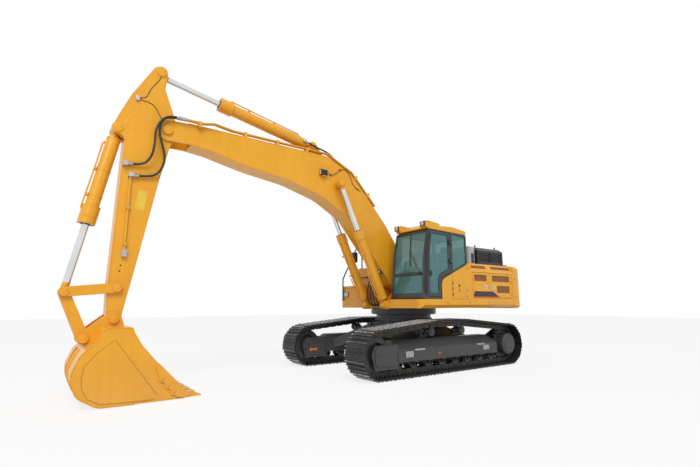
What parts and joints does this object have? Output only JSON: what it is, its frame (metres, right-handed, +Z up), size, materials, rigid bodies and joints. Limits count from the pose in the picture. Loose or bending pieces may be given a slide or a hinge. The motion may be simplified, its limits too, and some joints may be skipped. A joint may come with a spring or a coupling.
{
  "type": "crawler excavator",
  "caption": "Crawler excavator with a hinged boom, arm and backhoe bucket on a swinging upper body, running on two fixed grouser tracks.",
  "frame": {"origin": "on the ground under the swing axis", "axes": "+X forward over the idlers, towards the bucket; +Y to the machine's left; +Z up"},
  "size_m": [10.526, 3.19, 5.645],
  "materials": {
    "track_steel": "worn steel",
    "undercarriage_paint": "satin",
    "bearing_steel": "satin",
    "yellow_paint": "gloss",
    "black_paint": "satin",
    "grey_paint": "satin",
    "cast_block": "cast",
    "cab_grey": "satin",
    "cab_glass": "tinted",
    "lamp": "gloss",
    "seat_fabric": "woven",
    "rod_chrome": "polished",
    "pipe_steel": "brushed",
    "hose_rubber": "matt"
  },
  "bodies": {
    "chassis": {"track_left": "track_steel", "track_right": "track_steel", "track_chain_left": "track_steel", "track_chain_right": "track_steel", "sprocket_left": "undercarriage_paint", "sprocket_right": "undercarriage_paint", "idler_left": "undercarriage_paint", "idler_right": "undercarriage_paint", "track_rollers_left": "undercarriage_paint", "track_rollers_right": "undercarriage_paint", "track_frame_left": "undercarriage_paint", "track_frame_right": "undercarriage_paint", "centre_frame": "undercarriage_paint", "swing_bearing": "bearing_steel"},
    "house": {"revolving_frame": "yellow_paint", "slew_ring": "bearing_steel", "counterweight": "yellow_paint", "engine_bay": "yellow_paint", "engine_block": "cast_block", "left_panel": "yellow_paint", "air_box": "grey_paint", "tool_box": "yellow_paint", "fuel_tank": "yellow_paint", "handrails": "black_paint", "mirrors": "black_paint", "cab_shell": "cab_grey", "cab_roof": "yellow_paint", "cab_glass": "cab_glass", "roof_lamps": "yellow_paint", "seat": "seat_fabric", "console": "black_paint"},
    "left_front_door": {"left_front_door": "yellow_paint"},
    "left_rear_door": {"left_rear_door": "yellow_paint"},
    "right_pump_door": {"right_pump_door": "yellow_paint"},
    "engine_hood": {"engine_hood": "black_paint"},
    "cab_door": {"cab_door": "cab_grey", "door_glass": "cab_glass"},
    "boom": {"boom": "yellow_paint", "boom_pipes": "yellow_paint", "boom_lamp": "lamp", "hose_bucket": "hose_rubber", "hose_arm": "hose_rubber"},
    "boom_barrels": {"boom_cylinder_left": "yellow_paint", "boom_cylinder_right": "yellow_paint"},
    "boom_rods": {"boom_rod_left": "rod_chrome", "boom_rod_right": "rod_chrome"},
    "arm": {"arm": "yellow_paint", "arm_pipe": "pipe_steel"},
    "arm_barrel": {"arm_cylinder": "yellow_paint"},
    "arm_rod": {"arm_rod": "rod_chrome"},
    "bucket_barrel": {"bucket_cylinder": "yellow_paint"},
    "bucket_rod": {"bucket_rod": "rod_chrome"},
    "guide_links": {"guide_links": "yellow_paint"},
    "bucket": {"bucket": "yellow_paint", "bucket_teeth": "yellow_paint"},
    "bucket_link": {"bucket_link": "yellow_paint"}
  },
  "joints": [
    {"name": "swing", "type": "hinge", "parent": "chassis", "child": "house", "pos_m": [0, 0, 1.2], "axis": [0, 0, 1], "continuous": true},
    {"name": "boom_lift", "type": "hinge", "parent": "house", "child": "boom", "pos_m": [0.2, 0, 1.96], "axis": [0, -1, 0], "range_deg": [-60, 48]},
    {"name": "arm_crowd", "type": "hinge", "parent": "boom", "child": "arm", "pos_m": [5.75, 0, 4.47], "axis": [0, 1, 0], "range_deg": [-54, 50], "deforming": ["hose_bucket", "hose_arm"]},
    {"name": "bucket_dump", "type": "hinge", "parent": "arm", "child": "bucket", "pos_m": [6.332, 0, 1.215], "axis": [0, -1, 0], "range_deg": [-73, 85]},
    {"name": "boom_barrel_tilt", "type": "hinge", "parent": "house", "child": "boom_barrels", "pos_m": [0.88, 0, 1.405], "axis": [0, -1, 0], "range_deg": [-58.1, 46.58]},
    {"name": "boom_rod_slide", "type": "slide", "parent": "boom_barrels", "child": "boom_rods", "axis": [0.4233, 0, 0.906], "range_m": [-0.8184, 0.6567]},
    {"name": "arm_barrel_tilt", "type": "hinge", "parent": "boom", "child": "arm_barrel", "pos_m": [2.7, 0, 4.9], "axis": [0, 1, 0], "range_deg": [-5.47, 5.1]},
    {"name": "arm_rod_slide", "type": "slide", "parent": "arm_barrel", "child": "arm_rod", "axis": [0.9803, 0, 0.1973], "range_m": [-0.8846, 0.8198]},
    {"name": "guide_link_pivot", "type": "hinge", "parent": "arm", "child": "guide_links", "pos_m": [6.315, 0, 1.695], "axis": [0, -1, 0], "range_deg": [-51.16, 59.49]},
    {"name": "bucket_barrel_tilt", "type": "hinge", "parent": "arm", "child": "bucket_barrel", "pos_m": [6.505, 0, 4.35], "axis": [0, 1, 0], "range_deg": [-0.94, 1.01]},
    {"name": "bucket_rod_slide", "type": "slide", "parent": "bucket_barrel", "child": "bucket_rod", "axis": [0.1827, 0, -0.9832], "range_m": [-0.6271, 0.54]},
    {"name": "bucket_link_pivot", "type": "hinge", "parent": "bucket", "child": "bucket_link", "pos_m": [6.71, 0, 0.93], "axis": [0, -1, 0], "range_deg": [-54.39, 46.78]},
    {"name": "cab_door_hinge", "type": "hinge", "parent": "house", "child": "cab_door", "pos_m": [-0.077, 1.516, 2.2], "axis": [0, 0, 1], "range_deg": [0, 170]},
    {"name": "left_front_door_hinge", "type": "hinge", "parent": "house", "child": "left_front_door", "pos_m": [-0.834, 1.5, 1.86], "axis": [0, 0, 1], "range_deg": [-100, 0]},
    {"name": "left_rear_door_hinge", "type": "hinge", "parent": "house", "child": "left_rear_door", "pos_m": [-2.326, 1.5, 1.86], "axis": [0, 0, 1], "range_deg": [0, 100]},
    {"name": "right_pump_door_hinge", "type": "hinge", "parent": "house", "child": "right_pump_door", "pos_m": [-0.834, -1.5, 1.86], "axis": [0, 0, 1], "range_deg": [0, 100]},
    {"name": "engine_hood_hinge", "type": "hinge", "parent": "house", "child": "engine_hood", "pos_m": [-2.414, 0, 2.391], "axis": [0, -1, 0], "range_deg": [0, 60]}
  ],
  "couplings": [
    {"joint": "boom_barrel_tilt", "follows": "boom_lift", "ratio": 0.96},
    {"joint": "boom_rod_slide", "follows": "boom_lift", "m_per_rad": 0.772},
    {"joint": "arm_barrel_tilt", "follows": "arm_crowd", "ratio": 0.092},
    {"joint": "arm_rod_slide", "follows": "arm_crowd", "m_per_rad": 0.928},
    {"joint": "guide_link_pivot", "follows": "bucket_dump", "ratio": 0.694},
    {"joint": "bucket_barrel_tilt", "follows": "bucket_dump", "ratio": 0.006},
    {"joint": "bucket_rod_slide", "follows": "bucket_dump", "m_per_rad": -0.416},
    {"joint": "bucket_link_pivot", "follows": "bucket_dump", "ratio": -0.634}
  ]
}
